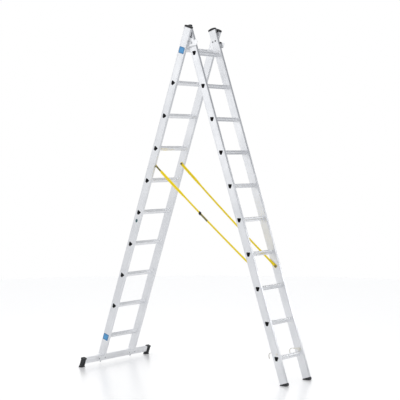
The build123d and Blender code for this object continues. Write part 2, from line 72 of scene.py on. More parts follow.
# %% Section frames
joints = {joint["name"]: joint for joint in frame["joints"]}
fold_axis = Vector(joints["fold"]["pos_m"])
slide = joints["extension"]["axis"]
upper_lean = math.atan2(-slide[0], slide[2])
lower_lean = math.radians(joints["fold"]["range_deg"][1]) - upper_lean
LOWER = Matrix.Translation(fold_axis) @ Matrix.Rotation(lower_lean, 4, "Y")
UPPER = Matrix.Translation(fold_axis) @ Matrix.Rotation(-upper_lean, 4, "Y")
print("leans in degrees:", round(math.degrees(lower_lean), 2), round(math.degrees(upper_lean), 2))

# %% [markdown]
# A few sizes of the construction are needed again, to seat the new pieces on it: the ten rungs in
# each section, the middle of the lower stile's depth as seen from the fold axis, and the outer and
# inner faces of the stiles.

# %% Sizes of the construction
RUNGS = 10
PITCH = 280 * MM
STILE_THICK = 25 * MM
LOWER_CENTRE = -53 * MM
LOWER_TOP_RUNG = -70.5 * MM
UPPER_TOP_RUNG = -83 * MM
LOWER_OUTER = 212 * MM
UPPER_OUTER = 179.5 * MM
LOWER_INNER = LOWER_OUTER - STILE_THICK
UPPER_INNER = UPPER_OUTER - STILE_THICK
SECTIONS = {
    "lower": (LOWER, "lower section", LOWER_CENTRE, LOWER_TOP_RUNG, LOWER_OUTER),
    "upper": (UPPER, "upper section", 0.0, UPPER_TOP_RUNG, UPPER_OUTER),
}
SIDES = {"near": -1, "far": 1}
print("stiles from", LOWER_INNER, "to", LOWER_OUTER, "and from", UPPER_INNER, "to", UPPER_OUTER)

# %% [markdown]
# The camera comes first, because every comparison depends on it. A picture of a tall object
# taken from far away with a long lens keeps the stiles nearly parallel. The position, the aim and
# the 116 mm lens were worked out from how the rungs and stiles converge.

# %% Camera
LENS_MM, SENSOR_MM, FAR_CLIP = 116.3, 36.0, 200.0
CAMERA_STAND = Vector((6.2048, -8.5447, -0.8519))
CAMERA_AIM = Vector((-0.59003, 0.80642, -0.03944))
scene = bpy.context.scene
lens = bpy.data.cameras.new("studio_camera")
lens.lens = LENS_MM
lens.sensor_width = SENSOR_MM
lens.clip_end = FAR_CLIP
camera = bpy.data.objects.new("studio_camera", lens)
camera.location = fold_axis + CAMERA_STAND
camera.rotation_mode = "QUATERNION"
camera.rotation_quaternion = CAMERA_AIM.to_track_quat("-Z", "Y")
scene.collection.objects.link(camera)
scene.camera = camera
scene.view_settings.view_transform = "Standard"
print("camera stands", round(CAMERA_STAND.length, 2), "m from the fold axis")

# %% [markdown]
# The world, the floor and every finish are node trees, and they are all built in the same few steps.
# A small class adds nodes to a tree and fills their sockets: a number or a colour is written on the
# socket, and the output of another node is linked to it. Its other calls are for nodes used often.

# %% Helpers for nodes
WHITE = (1, 1, 1, 1)


class Nodes:
    """A node tree, with short calls for the nodes that are used often."""

    def __init__(self, tree):
        self.tree = tree

    def fill(self, node, sockets):
        """Write a value on each socket, given by name or number, or link it to an output."""
        for key, value in sockets.items():
            if isinstance(value, bpy.types.NodeSocket):
                self.tree.links.new(value, node.inputs[key])
            else:
                node.inputs[key].default_value = value
        return node

    def add(self, kind, sockets, **options):
        """Add a node, set its options and fill its sockets."""
        node = self.tree.nodes.new("ShaderNode" + kind)
        for option, value in options.items():
            setattr(node, option, value)
        return self.fill(node, sockets)

    def mixed(self, share, first, second):
        """Two shaders, mixed."""
        return self.add("MixShader", {0: share, 1: first.outputs[0], 2: second.outputs[0]})

    def maths(self, operation, first, second):
        """One step of arithmetic between two factors, or a factor and a number."""
        return self.add("Math", {0: first, 1: second}, operation=operation).outputs["Value"]

    def span(self, factor, low, high, from_low=0.3, from_high=0.7):
        """A factor stretched to a range of values."""
        reach = {"From Min": from_low, "From Max": from_high, "To Min": low, "To Max": high}
        return self.add("MapRange", {"Value": factor, **reach}).outputs["Result"]

    def ramp(self, factor, stops, interpolation="LINEAR"):
        """Colours along a factor, as (position, colour) pairs."""
        node = self.add("ValToRGB", {"Fac": factor})
        node.color_ramp.interpolation = interpolation
        elements = node.color_ramp.elements
        while len(elements) < len(stops):
            elements.new(0.5)
        for element, (position, colour) in zip(elements, stops):
            element.position = position
            element.color = (*colour, 1)
        return node.outputs["Color"]


print("calls for nodes:", [call for call in vars(Nodes) if not call.startswith("_")])

# %% [markdown]
# Bare aluminium has almost no colour of its own: what it shows is the room. So the world is a
# simple studio that only mirrors see: pale walls that turn grey to the right and are a little
# lighter low down, and the white paper straight ahead. The camera itself always sees plain white,
# and matt surfaces get an even light. Light Path tells the world which kind of ray is asking.

# %% World
RIGHT_OF_VIEW, AHEAD = (0.807, 0.590, 0.0), (-0.590, 0.807, 0.0)
WALLS = [(0.25, (0.61, 0.617, 0.63)), (0.85, (0.35, 0.36, 0.38))]
ROOM_COLOUR, ROOM_LIGHT = (0.97, 0.98, 1.0, 1), 0.90
world = bpy.data.worlds.new("studio")
scene.world = world
world.use_nodes = True
world.node_tree.nodes.clear()
studio = Nodes(world.node_tree)
ray = studio.add("LightPath", {})
look = studio.add("TexCoord", {}).outputs["Generated"]


def facing(direction):
    """How far a ray points in a direction, from -1 to 1."""
    node = studio.add("VectorMath", {0: look, 1: direction}, operation="DOT_PRODUCT")
    return node.outputs["Value"]


walls = studio.ramp(facing(RIGHT_OF_VIEW), WALLS, "EASE")
height = studio.add("SeparateXYZ", {0: look}).outputs["Z"]
low_glow = studio.span(height, 1.25, 1.0, 0.02, 0.26)
ahead = studio.span(facing(AHEAD), 0.0, 1.0, 0.82, 0.94)
grey_walls = studio.add("Background", {"Color": walls, "Strength": low_glow})
paper = studio.add("Background", {"Color": WHITE})
ambient = studio.add("Background", {"Color": ROOM_COLOUR, "Strength": ROOM_LIGHT})
backdrop = studio.add("Background", {"Color": WHITE})
reflected = studio.mixed(ahead, grey_walls, paper)
room = studio.mixed(ray.outputs["Is Glossy Ray"], ambient, reflected)
seen = studio.maths("MAXIMUM", ray.outputs["Is Camera Ray"], ray.outputs["Is Transmission Ray"])
whole = studio.mixed(seen, room, backdrop)
studio.add("OutputWorld", {"Surface": whole.outputs[0]})
print("world:", len(studio.tree.nodes), "nodes")

# %% [markdown]
# Four soft lamps finish the studio. The key stands high on the left, so that the faces towards it
# are brightest near the top. Two panels on the right, behind the ladder, are what the narrow faces
# mirror from mid-height down, and a lamp overhead gives the floor its soft shadow.

# %% Lamps
# Each has a name, a place, a target, a size in metres, a power in watts and a spread in degrees.
LAMPS = [
    ("key_lamp", (-1.6, -4.4, 3.0), (0.1, 0.0, 1.8), 3.0, 18, 180),
    ("side_panel", (4.9, 6.8, 3.4), (0.6, 0.0, 0.7), 1.6, 0.44, 26),
    ("low_panel", (2.05, 2.05, 1.15), (0.8, 0.0, 0.25), 0.7, 0.36, 60),
    ("overhead_lamp", (-0.6, -0.6, 5.5), (0.0, 0.0, 0.0), 3.5, 45, 180),
]
for name, place, target, size, power, spread in LAMPS:
    data = bpy.data.lights.new(name, "AREA")
    data.shape = "SQUARE"
    data.size = size
    data.energy = power
    data.spread = math.radians(spread)
    lamp = bpy.data.objects.new(name, data)
    lamp.location = place
    lamp.rotation_mode = "QUATERNION"
    lamp.rotation_quaternion = (Vector(target) - Vector(place)).to_track_quat("-Z", "Y")
    lamp.visible_camera = False
    scene.collection.objects.link(lamp)

# %% [markdown]
# The floor is a pale disc. A diffuse white floor only comes out as white as its light, so the
# camera, and only the camera, sees a little extra brightness on it. The shadow stays, because it is
# a dip in the light that falls on the floor. Studio paper is often covered with a clear sheet, which
# mirrors the feet faintly: a share of polished shader gives that, again for the camera alone.

# %% Floor
FLOOR_RADIUS, FLOOR_SEGMENTS = 8.0, 96
FLOOR_PAPER = {"Base Color": (0.82, 0.82, 0.82, 1), "Roughness": 0.6, "Specular IOR Level": 0.2}
FLOOR_POLISH = {"Base Color": WHITE, "Metallic": 1.0, "Roughness": 0.28}
POLISH_SHARE, CAMERA_LIFT = 0.52, 0.14
floor_mesh = bpy.data.meshes.new("floor")
bm = bmesh.new()
bmesh.ops.create_circle(bm, cap_ends=True, segments=FLOOR_SEGMENTS, radius=FLOOR_RADIUS)
bm.to_mesh(floor_mesh)
bm.free()
floor = bpy.data.objects.new("floor", floor_mesh)
scene.collection.objects.link(floor)
floor_finish = bpy.data.materials.new("floor_white")
floor_finish.use_nodes = True
sheet = Nodes(floor_finish.node_tree)
matt = sheet.fill(sheet.tree.nodes["Principled BSDF"], FLOOR_PAPER)
polish = sheet.add("BsdfPrincipled", FLOOR_POLISH)
seen = sheet.add("LightPath", {}).outputs["Is Camera Ray"]
covered = sheet.mixed(sheet.maths("MULTIPLY", seen, POLISH_SHARE), matt, polish)
lift = sheet.maths("MULTIPLY", seen, CAMERA_LIFT)
extra = sheet.add("Emission", {"Color": WHITE, "Strength": lift})
both = sheet.add("AddShader", {0: covered.outputs[0], 1: extra.outputs[0]})
sheet.fill(sheet.tree.nodes["Material Output"], {"Surface": both.outputs[0]})
floor_mesh.materials.append(floor_finish)
print("floor:", 2 * FLOOR_RADIUS, "m across,", len(sheet.tree.nodes), "nodes in its finish")

# %% [markdown]
# Every finish starts the same way: a Principled shader, and a pattern that is measured in the
# section's own frame, so that drawing lines run along the stile and not along the world's Z. A
# Mapping node of type Texture turns the coordinates back by the lean and then stretches them.

# %% Helpers for finishes
MIX_FACTOR, MIX_FIRST, MIX_SECOND, MIX_RESULT = 0, 6, 7, 2


class Finish(Nodes):
    """A node material, with its patterns measured in millimetres."""

    def __init__(self, name):
        self.material = bpy.data.materials.new(name)
        self.material.use_nodes = True
        super().__init__(self.material.node_tree)

    def place(self, grain, lean=0.0, source="Object"):
        """Coordinates in the section's frame, for a grain of one size or of three."""
        sizes = [grain] * 3 if isinstance(grain, float) else grain
        sockets = {
            "Vector": self.add("TexCoord", {}).outputs[source],
            "Rotation": (0.0, lean, 0.0),
            "Scale": [size * MM for size in sizes],
        }
        return self.add("Mapping", sockets, vector_type="TEXTURE").outputs["Vector"]

    def noise(self, grain, lean=0.0, source="Object", detail=3.0, rough=0.55):
        """A soft random pattern."""
        where = self.place(grain, lean, source)
        sockets = {"Vector": where, "Scale": 1.0, "Detail": detail, "Roughness": rough}
        return self.add("TexNoise", sockets).outputs["Fac"]

    def weighted(self, first, second, share):
        """A share of one factor and the rest of another."""
        part, rest = self.maths("MULTIPLY", first, share), self.maths("MULTIPLY", second, 1 - share)
        return self.maths("ADD", part, rest)

    def blend(self, factor, first, second):
        """Two colours mixed by a factor."""
        first, second = ((*c, 1) if isinstance(c, tuple) else c for c in (first, second))
        sockets = {MIX_FACTOR: factor, MIX_FIRST: first, MIX_SECOND: second}
        return self.add("Mix", sockets, data_type="RGBA").outputs[MIX_RESULT]

    def bump(self, height, depth, strength):
        """A fine relief."""
        sockets = {"Height": height, "Distance": depth * MM, "Strength": strength}
        return self.add("Bump", sockets).outputs["Normal"]

    def shade(self, colour, rough, normal, others):
        """Fill the sockets of the Principled shader, and return the material."""
        sockets = {"Base Color": colour, "Roughness": rough, "Normal": normal, **others}
        self.fill(self.tree.nodes["Principled BSDF"], sockets)
        return self.material


print("calls for finishes:", [call for call in vars(Finish) if not call.startswith("_")])

# %% [markdown]
# Stiles, rungs and the bar are pressed aluminium profiles. The press leaves fine lines along the
# profile, and handling leaves cloudy smudges and a few scuffs. Three noises of different stretch
# give those: hair-fine lines, broad clouds and sparse streaks. Roughness follows them, so the
# reflections break up as they do on bare metal.

# %% Aluminium profiles
LINE_GRAIN, STREAK_GRAIN, CLOUD_GRAIN = (0.9, 260.0), (5.0, 90.0), 170.0


def stretched(grain, along):
    """A grain of (width, length) that runs along one axis."""
    width, length = grain
    return [length if axis == along else width for axis in "XYZ"]


def aluminium(name, lean, along, light, dark, rough):
    """Bare pressed aluminium with its lines along one axis of the section's frame."""
    finish = Finish(name)
    lines = finish.noise(stretched(LINE_GRAIN, along), lean, detail=4.0)
    clouds = finish.noise(CLOUD_GRAIN, lean)
    scuffs = finish.noise(stretched(STREAK_GRAIN, along), lean, detail=5.0, rough=0.7)
    both = finish.weighted(lines, clouds, 0.5)
    tone = finish.ramp(both, [(0.36, dark), (0.62, light)])
    marks = finish.span(scuffs, 0.0, 0.35, 0.62, 0.80)
    colour = finish.blend(marks, tone, tuple(0.62 * value for value in dark))
    gloss = finish.span(both, rough + 0.07, rough - 0.05)
    return finish.shade(colour, gloss, finish.bump(lines, 0.05, 0.35), {"Metallic": 1.0})


STILE_TONES = (0.90, 0.905, 0.92), (0.80, 0.81, 0.83)
RUNG_TONES = (0.95, 0.955, 0.965), (0.86, 0.865, 0.88)
# The bar's tones are lighter than the stiles': painted light, lifting it against the shaded floor that it
# mirrors.
BAR_TONES = (0.95, 0.955, 0.965), (0.87, 0.875, 0.89)
# The upper treads take a darker copy of the rungs' aluminium: painted shade on that section's treads.
TREAD_TONES = {"lower": RUNG_TONES, "upper": ((0.84, 0.845, 0.86), (0.72, 0.725, 0.74))}
stile_finish, rung_finish, tread_finish = {}, {}, {}
for section, lean in (("lower", lower_lean), ("upper", -upper_lean)):
    treads = TREAD_TONES[section]
    stile_finish[section] = aluminium(f"stile_aluminium_{section}", lean, "Z", *STILE_TONES, 0.36)
    rung_finish[section] = aluminium(f"rung_aluminium_{section}", lean, "Y", *RUNG_TONES, 0.24)
    tread_finish[section] = aluminium(f"tread_aluminium_{section}", lean, "Y", *treads, 0.5)
bar_finish = aluminium("bar_aluminium", lower_lean, "Y", *BAR_TONES, 0.48)
bracket_finish = aluminium("bracket_aluminium", lower_lean, "Z", *RUNG_TONES, 0.33)
print("aluminium finishes:", [m.name for m in bpy.data.materials if "aluminium" in m.name])

# %% [markdown]
# Bolts, hooks and anchors are steel with a thin zinc coat. Zinc dries in small patches that
# reflect slightly differently, which is called spangle. A Voronoi texture gives each patch its own
# tone, and a noise clouds it.

# %% Zinc-coated steel
def zinc_steel(name, light, dark, patch):
    """Zinc-coated steel with patches of differing tone, of a size in millimetres."""
    finish = Finish(name)
    patches = finish.add("TexVoronoi", {"Vector": finish.place(patch), "Scale": 1.0})
    grey = finish.add("RGBToBW", {"Color": patches.outputs["Color"]})
    clouds = finish.noise(14.0, detail=4.0)
    both = finish.weighted(grey.outputs["Val"], clouds, 0.4)
    colour = finish.ramp(both, [(0.30, dark), (0.70, light)])
    rough = finish.span(both, 0.46, 0.30)
    return finish.shade(colour, rough, finish.bump(clouds, 0.08, 0.3), {"Metallic": 1.0})


zinc = zinc_steel("zinc_steel", (0.70, 0.71, 0.72), (0.50, 0.51, 0.53), 2.5)
hook_zinc = zinc_steel("hook_zinc", (0.90, 0.885, 0.83), (0.74, 0.73, 0.67), 3.5)
dark_steel = zinc_steel("dark_steel", (0.24, 0.24, 0.25), (0.12, 0.12, 0.13), 2.0)
print("steel finishes:", zinc.name, hook_zinc.name, dark_steel.name)

# %% [markdown]
# Caps, feet and plugs are moulded plastic. The mould is eroded so that the part comes out with a
# fine matt grain, and what is handled or stood on turns paler. A fine noise gives the grain, and a
# broader one the dusty patches.

# %% Moulded plastic
def moulded_plastic(name, dark, dusty, rough, grain=0.7, gloss=0.42):
    """Dark plastic with the fine grain of an eroded mould."""
    finish = Finish(name)
    fine = finish.noise(grain, detail=2.0)
    dust = finish.noise(22.0, detail=5.0, rough=0.65)
    colour = finish.blend(finish.span(dust, 0.0, 1.0, 0.42, 0.75), dark, dusty)
    worn = finish.span(dust, rough - 0.06, rough + 0.10)
    return finish.shade(colour, worn, finish.bump(fine, 0.12, 0.5), {"Specular IOR Level": gloss})


PLUG_TONES = (0.004, 0.004, 0.005), (0.010, 0.010, 0.011)
FOOT_TONES = (0.024, 0.025, 0.027), (0.066, 0.068, 0.070)
ROLLER_TONES = (0.016, 0.016, 0.017), (0.045, 0.045, 0.046)
plug_plastic = moulded_plastic("plug_plastic", *PLUG_TONES, 0.55, gloss=0.10)
foot_plastic = moulded_plastic("foot_plastic", *FOOT_TONES, 0.52, gloss=0.34)
roller_rubber = moulded_plastic("roller_rubber", *ROLLER_TONES, 0.66, 1.1)
print("plastics:", plug_plastic.name, foot_plastic.name, roller_rubber.name)

# %% [markdown]
# The solids that already have the right shape only need a finish. A name tells what each one is
# made of, so a short list of beginnings is enough to dress them all.

# %% Finishes on the solids
NODE_FINISH = [
    (stile_finish["lower"], "lower_stile"),
    (stile_finish["upper"], "upper_stile"),
    (rung_finish["lower"], "lower_rung"),
    (rung_finish["upper"], "upper_rung"),
    (bar_finish, "stabiliser_bar", "saddle_near", "saddle_far"),
    (bracket_finish, "hinge_bracket"),
    (zinc, "swivel_shoe", "bracket_rivets"),
    (foot_plastic, "lower_cap", "upper_cap", "upper_foot", "stabiliser_foot"),
]
for material, *starts in NODE_FINISH:
    dressed = [name for name in nodes if name.startswith(tuple(starts))]
    for name in dressed:
        nodes[name].data.materials[0] = material
    print(material.name, "on", len(dressed), "solids")

# %% [markdown]
# The pieces that follow are modelled with bmesh. Most of them occur many times, so each one is made
# once, as a small mesh of its own with its doubles merged, and then stamped wherever it is needed. In
# the finished piece the normals are recalculated, and only edges sharper than a set angle stay hard.

# %% Helpers for stamping
MERGE_DISTANCE = 0.002 * MM
HARD_ANGLE = 28
small_parts = []


def at(x, y, z):
    """A shift, as a matrix."""
    return Matrix.Translation((x, y, z))


def turn_about(axis, degrees):
    """A turn, as a matrix."""
    return Matrix.Rotation(math.radians(degrees), 4, axis)


def small_part(bm):
    """Close a bmesh as a small mesh that can be stamped many times."""
    bmesh.ops.remove_doubles(bm, verts=bm.verts, dist=MERGE_DISTANCE)
    bmesh.ops.recalc_face_normals(bm, faces=bm.faces)
    part = bpy.data.meshes.new("small_part")
    bm.to_mesh(part)
    bm.free()
    small_parts.append(part)
    return part


def stamp(bm, matrix, *parts):
    """Add copies of small meshes at a place."""
    for part in parts:
        before = len(bm.verts)
        bm.from_mesh(part)
        bm.verts.ensure_lookup_table()
        bmesh.ops.transform(bm, matrix=matrix, verts=bm.verts[before:])


def finish_piece(name, bm, body, slot, *finishes, smooth=HARD_ANGLE):
    """Turn a bmesh into a piece of the ladder that moves with a body."""
    bmesh.ops.recalc_face_normals(bm, faces=bm.faces)
    open_edges = sum(not edge.is_manifold for edge in bm.edges)
    mesh = bpy.data.meshes.new(name)
    bm.to_mesh(mesh)
    bm.free()
    for finish in finishes:
        mesh.materials.append(finish)
    mesh.shade_smooth()
    mesh.set_sharp_from_angle(angle=math.radians(smooth))
    piece = bpy.data.objects.new(name, mesh)
    scene.collection.objects.link(piece)
    if body:
        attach(piece, body)
    print(name, "-", len(mesh.polygons), "faces,", open_edges, "open edges")
    return piece


print("edges sharper than", HARD_ANGLE, "degrees stay hard")

# %% [markdown]
# Modelling here is mostly extruding and insetting single faces and rounding what is sharp, so these
# steps get helpers too. The last two know the ladder: one finds a place on the side of a stile, the
# other the heights of the rungs.

# %% Helpers for modelling
CORNERS = ((-1, -1), (1, -1), (1, 1), (-1, 1))
PLANE_TOLERANCE = 0.001 * MM


def verts_in(geometry):
    """The vertices among the things that a bmesh operator made."""
    return [item for item in geometry if isinstance(item, bmesh.types.BMVert)]


def pull(bm, face, offset):
    """Extrude one face by a vector and return the face that moved."""
    joined = any(len(edge.link_faces) > 1 for edge in face.edges)
    made = bmesh.ops.extrude_face_region(bm, geom=[face])["geom"]
    bmesh.ops.translate(bm, vec=offset, verts=verts_in(made))
    if joined:
        bmesh.ops.delete(bm, geom=[face], context="FACES_ONLY")
    return next(item for item in made if isinstance(item, bmesh.types.BMFace))


def inset(bm, face, width, rise=0.0):
    """Inset one face by a width and raise it, both in millimetres."""
    bmesh.ops.inset_region(
        bm, faces=[face], thickness=width * MM, depth=rise * MM, use_even_offset=True
    )


def soften(bm, geometry, width, segments=2, affect="EDGES"):
    """Round a set of edges, or of corners."""
    bmesh.ops.bevel(
        bm, geom=geometry, offset=width, segments=segments, profile=0.5, affect=affect, material=-1
    )


def flat_face(bm, points, corner=None, segments=3):
    """One flat face in an empty bmesh, with round corners if they have a width."""
    verts = [bm.verts.new(point) for point in points]
    bm.faces.new(verts)
    if corner:
        soften(bm, verts, corner, segments, "VERTICES")
    return next(iter(bm.faces))


def rectangle(half_x, half_y):
    """The corners of a rectangle at Z = 0."""
    return [(x * half_x, y * half_y, 0) for x, y in CORNERS]


def level_edges(bm, axis, value):
    """The edges that lie in one plane across an axis."""
    return [e for e in bm.edges if all(abs(v.co[axis] - value) < PLANE_TOLERANCE for v in e.verts)]


def seat(frame_matrix, n, y, a, side):
    """A place on a stile's side face, with Z pointing outwards along the ladder's Y."""
    return frame_matrix @ at(n, y, a) @ turn_about("X", -90 * side)


def rung_heights(top_rung):
    """The ten rungs of a section, from the top one down."""
    return [top_rung - step * PITCH for step in range(RUNGS)]


print("rungs of the lower section:", [round(a, 3) for a in rung_heights(LOWER_TOP_RUNG)])

# %% [markdown]
# A rung is pressed as a delta: a flat tread above, shoulders, slopes and a keel below. Plugs and
# collars share its outline, so it is drawn once. It is tilted by 18 degrees in the section, so that
# the tread lies level when the ladder stands open.

# %% Outline of a rung
TREAD_TILT = 18
TREAD_TOP = 12.54 * MM
TILT = turn_about("Y", TREAD_TILT)


def mirrored(half):
    """A whole outline from its right half, which runs from the top down."""
    return half + [(-x, z) for x, z in reversed(half)]


DELTA = mirrored([(16, 12.54), (16, 1.54), (7.5, -9.46), (7.5, -20.46)])


def delta_face(bm, grow=1.0, outline=DELTA, corner=2.4 * MM):
    """The rung's outline as one face with round corners, tilted as it sits in the stile."""
    face = flat_face(bm, [(grow * x * MM, 0, grow * z * MM) for x, z in outline], corner)
    bmesh.ops.transform(bm, matrix=TILT, verts=bm.verts)
    return face


print("outline of a rung:", len(DELTA), "corners, tilted by", TREAD_TILT, "degrees")

# %% [markdown]
# Black plugs close the rung ends. A moulded plug has a head that fills the tube's end, a thinner neck
# that is pressed into the tube, and a thin cover that laps over the edge of the hole. Extruding and
# insetting one face makes head and neck. The cover is a second face with a simpler outline, extruded
# by less than half a millimetre and dished, so that it keeps clear of the shoe that slides past it.

# %% Rung plugs
HEAD_DEEP, NECK_DEEP = 2.0 * MM, 15.5 * MM
COVER = mirrored([(17.6, 13.3), (17.6, 2.2), (8.6, -21.0)])
COVER_CORNER, COVER_PROUD = 4.0 * MM, 0.35 * MM
bm = bmesh.new()
back = pull(bm, delta_face(bm), (0, -HEAD_DEEP, 0))
inset(bm, back, 1.8)
pull(bm, back, (0, -NECK_DEEP, 0))
plug = small_part(bm)
bm = bmesh.new()
front = pull(bm, delta_face(bm, outline=COVER, corner=COVER_CORNER), (0, COVER_PROUD, 0))
inset(bm, front, 0.5)
inset(bm, front, 1.6, -0.2)
cover = small_part(bm)
for section, (matrix, body, centre, top_rung, outer) in SECTIONS.items():
    bm = bmesh.new()
    for a in rung_heights(top_rung):
        for side in SIDES.values():
            mirror = Matrix.Diagonal((1, side, 1, 1))
            stamp(bm, matrix @ at(centre, side * outer, a) @ mirror, plug, cover)
    piece = finish_piece(f"moulded_plugs_{section}", bm, body, "plug_plastic", plug_plastic, smooth=10)
    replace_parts(piece, f"{section}_plugs")

# %% [markdown]
# Where a rung passes through a stile, the press swells it into a bead that grips the wall. A ring of
# the same outline, a little larger and softened at its rim, stands for the bead on the inner face.
# On the tread itself the profile has fine ribs against slipping: long low strips, stamped seven to a
# rung.

# %% Rung collars and tread ribs
COLLAR_GROW, COLLAR_PROUD = 1.12, 2.2 * MM
RIB_PLACES = [(-13.2 + 4.4 * step) * MM for step in range(7)]
RIB_OUTLINE = [(-1.0, -0.3), (1.0, -0.3), (0.55, 0.6), (-0.55, 0.6)]
bm = bmesh.new()
pull(bm, delta_face(bm, COLLAR_GROW), (0, COLLAR_PROUD, 0))
soften(bm, level_edges(bm, 1, COLLAR_PROUD), 1.1 * MM, 3)
collar = small_part(bm)
for section, (matrix, body, centre, top_rung, outer) in SECTIONS.items():
    inner = outer - STILE_THICK
    bm = bmesh.new()
    end = flat_face(bm, [(x * MM, -inner, z * MM) for x, z in RIB_OUTLINE])
    pull(bm, end, (0, 2 * inner, 0))
    rib = small_part(bm)
    collars, ribs = bmesh.new(), bmesh.new()
    for a in rung_heights(top_rung):
        rung_place = matrix @ at(centre, 0, a)
        for side in SIDES.values():
            mirror = Matrix.Diagonal((1, -side, 1, 1))
            stamp(collars, rung_place @ at(0, side * inner, 0) @ mirror, collar)
        for x in RIB_PLACES:
            stamp(ribs, rung_place @ TILT @ at(x, 0, TREAD_TOP), rib)
    tread = tread_finish[section]
    finish_piece(f"rung_collars_{section}", collars, body, "rung_aluminium", rung_finish[section])
    finish_piece(f"tread_ribs_{section}", ribs, body, "rung_aluminium", tread, smooth=25)

# %% [markdown]
# Caps and feet are plastic mouldings over the stile ends. Where the mould closes, such a piece has a
# lip. A slab with round corners that stands slightly proud of the solid gives it, and the rest of the
# slab hides inside.

# %% Lips on the caps
def slab(half_x, half_y, height, corner, rim):
    """A block from Z = 0 upwards, with round corners and softened rims, in millimetres."""
    bm = bmesh.new()
    pull(bm, flat_face(bm, rectangle(half_x * MM, half_y * MM), corner * MM), (0, 0, height * MM))
    soften(bm, level_edges(bm, 2, 0.0) + level_edges(bm, 2, height * MM), rim * MM)
    return small_part(bm)


CAP_RISE = {"lower": 180 * MM, "upper": 214 * MM}
STEP_RISE = 7.0 * MM
cap_lip, cap_step = slab(34.8, 14.3, 3.2, 3.4, 0.8), slab(34.4, 13.9, 1.4, 3.2, 0.5)
for section, (matrix, body, centre, top_rung, outer) in SECTIONS.items():
    bm = bmesh.new()
    for side in SIDES.values():
        stile_middle = side * (outer - STILE_THICK / 2)
        end = matrix @ at(centre, stile_middle, top_rung + CAP_RISE[section])
        stamp(bm, end, cap_lip)
        stamp(bm, end @ at(0, 0, STEP_RISE), cap_step)
    finish_piece(f"cap_lips_{section}", bm, body, "foot_plastic", foot_plastic)

# %% [markdown]
# The feet of the narrow section are caps too, rounded in front so that the ladder rolls on to its
# sole. Each gets a lip at the stile and four shallow ribs below it. The sole itself is cut level in
# the solid, whose box shows how far the foot reaches.

# %% Feet of the upper section
foot_low, foot_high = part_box("upper_foot_near")
foot_run = -fold_axis.z / math.cos(upper_lean)
FOOT_TOP = foot_run + 18 * MM
LIP_DROP, RIB_DROP = 3.0 * MM, 10.0 * MM
FOOT_RIBS = (-20 * MM, -7 * MM, 6 * MM, 19 * MM)
foot_lip, foot_rib = slab(34.4, 13.9, 3.0, 2.0, 0.7), slab(2.0, 14.1, 8.0, 0.8, 0.5)
bm = bmesh.new()
for side in SIDES.values():
    stile_middle = side * (UPPER_OUTER - STILE_THICK / 2)
    stamp(bm, UPPER @ at(0, stile_middle, FOOT_TOP - LIP_DROP), foot_lip)
    for n in FOOT_RIBS:
        stamp(bm, UPPER @ at(n, stile_middle, FOOT_TOP - RIB_DROP), foot_rib)
finish_piece("foot_lips", bm, "upper section", "foot_plastic", foot_plastic)
print("upper foot reaches from", round(foot_low.z, 4), "to", round(foot_high.z, 4))

# %% [markdown]
# The feet at the ends of the stabiliser bar are tall blocks with a rim, a waist and a flared sole. The
# waist is stiffened by upright ribs on three sides, as mouldings of this size usually are. They end
# under the rim and stay inside the flare, so nothing stands out.

# %% End feet of the bar
bar_low, bar_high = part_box("stabiliser_bar")
BAR_A = (LOWER.inverted() @ ((bar_low + bar_high) / 2)).z
WAIST_LOW, WAIST_HEIGHT = BAR_A - 45 * MM, 65.0
FOOT_HALF, FOOT_OUT, FOOT_IN = 13 * MM, 450 * MM, 414 * MM
RIB_STEP, RIB_MARGIN = 9 * MM, 4 * MM
waist_rib = slab(1.8, 2.2, WAIST_HEIGHT, 0.8, 0.4)
bm = bmesh.new()
for side in SIDES.values():
    for n in (-RIB_STEP, 0.0, RIB_STEP):
        stamp(bm, LOWER @ at(LOWER_CENTRE + n, side * FOOT_OUT, WAIST_LOW), waist_rib)
    for face in (-1, 1):
        for y in (FOOT_IN + RIB_MARGIN, (FOOT_IN + FOOT_OUT) / 2, FOOT_OUT - RIB_MARGIN):
            place = LOWER @ at(LOWER_CENTRE + face * FOOT_HALF, side * y, WAIST_LOW)
            stamp(bm, place @ turn_about("Z", 90), waist_rib)
finish_piece("end_foot_ribs", bm, "lower section", "foot_plastic", foot_plastic)

# %% [markdown]
# Bolts come next. A turned part such as a washer or a screw head is an outline spun round an axis. A
# hexagon is a six-sided circle, extruded, with its upper edge chamfered. Each fastener below keeps
# the place and the reach of the plain one in the construction.

# %% Helpers for fasteners
def turned(outline, steps=24):
    """A round part from (radius, height) pairs in millimetres, spun about Z and closed at both ends."""
    bm = bmesh.new()
    closed = [(0, outline[0][1]), *outline, (0, outline[-1][1])]
    verts = [bm.verts.new((radius * MM, 0, height * MM)) for radius, height in closed]
    edges = [bm.edges.new(pair) for pair in zip(verts, verts[1:])]
    bmesh.ops.spin(
        bm, geom=verts + edges, cent=(0, 0, 0), axis=(0, 0, 1),
        angle=math.tau, steps=steps, use_merge=True,
    )
    return small_part(bm)


def hexagon(radius, height, chamfer):
    """A hexagon from Z = 0 upwards, with a chamfered upper edge, in millimetres."""
    bm = bmesh.new()
    bmesh.ops.create_circle(bm, cap_ends=True, segments=6, radius=radius * MM)
    pull(bm, next(iter(bm.faces)), (0, 0, height * MM))
    soften(bm, level_edges(bm, 2, height * MM), chamfer * MM, 1)
    return small_part(bm)


def raised(height):
    """A shift along the fastener's axis, in millimetres."""
    return at(0, 0, height * MM)


print("fasteners are made from turned outlines and hexagons")

# %% [markdown]
# The pivot bolts carry the hinge: a broad washer and a hexagon head outside the bracket, and a shank
# through the shoe. Beside each one sits the roller that stops the hinge when the ladder is open.

